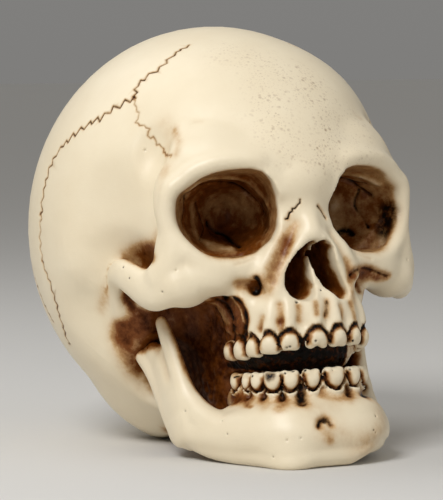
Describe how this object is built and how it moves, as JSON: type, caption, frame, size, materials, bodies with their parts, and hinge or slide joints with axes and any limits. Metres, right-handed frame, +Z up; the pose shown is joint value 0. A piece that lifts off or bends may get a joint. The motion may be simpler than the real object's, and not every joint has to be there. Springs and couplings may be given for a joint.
{
  "type": "decorative cast human skull",
  "caption": "Life-size human skull cast in one piece, jaws parted and joined by a recessed fill, standing on its lower jaw and a flat under the back of the head.",
  "frame": {"origin": "on the floor, under the middle of the skull's bounding box", "axes": "+Z up, -Y out of the face, +X towards the skull's own left; right and left match"},
  "size_m": [0.1537, 0.2052, 0.1777],
  "materials": {
    "frontal_bone": "satin ivory resin",
    "parietal_right": "satin ivory resin",
    "parietal_left": "satin ivory resin",
    "temporal_right": "satin ivory resin",
    "temporal_left": "satin ivory resin",
    "occipital_bone": "satin ivory resin",
    "cheekbone_right": "satin ivory resin",
    "cheekbone_left": "satin ivory resin",
    "nasal_bones": "satin ivory resin",
    "upper_jaw": "satin ivory resin, brown stain in the grooves",
    "lower_jaw": "satin ivory resin, brown stain in the grooves",
    "skull_base": "resin stained dark brown"
  },
  "bodies": {
    "root": {"frontal_bone": "frontal_bone", "parietal_right": "parietal_right", "parietal_left": "parietal_left", "temporal_right": "temporal_right", "temporal_left": "temporal_left", "occipital_bone": "occipital_bone", "cheekbone_right": "cheekbone_right", "cheekbone_left": "cheekbone_left", "nasal_bones": "nasal_bones", "upper_jaw": "upper_jaw", "lower_jaw": "lower_jaw", "skull_base": "skull_base"}
  },
  "joints": []
}
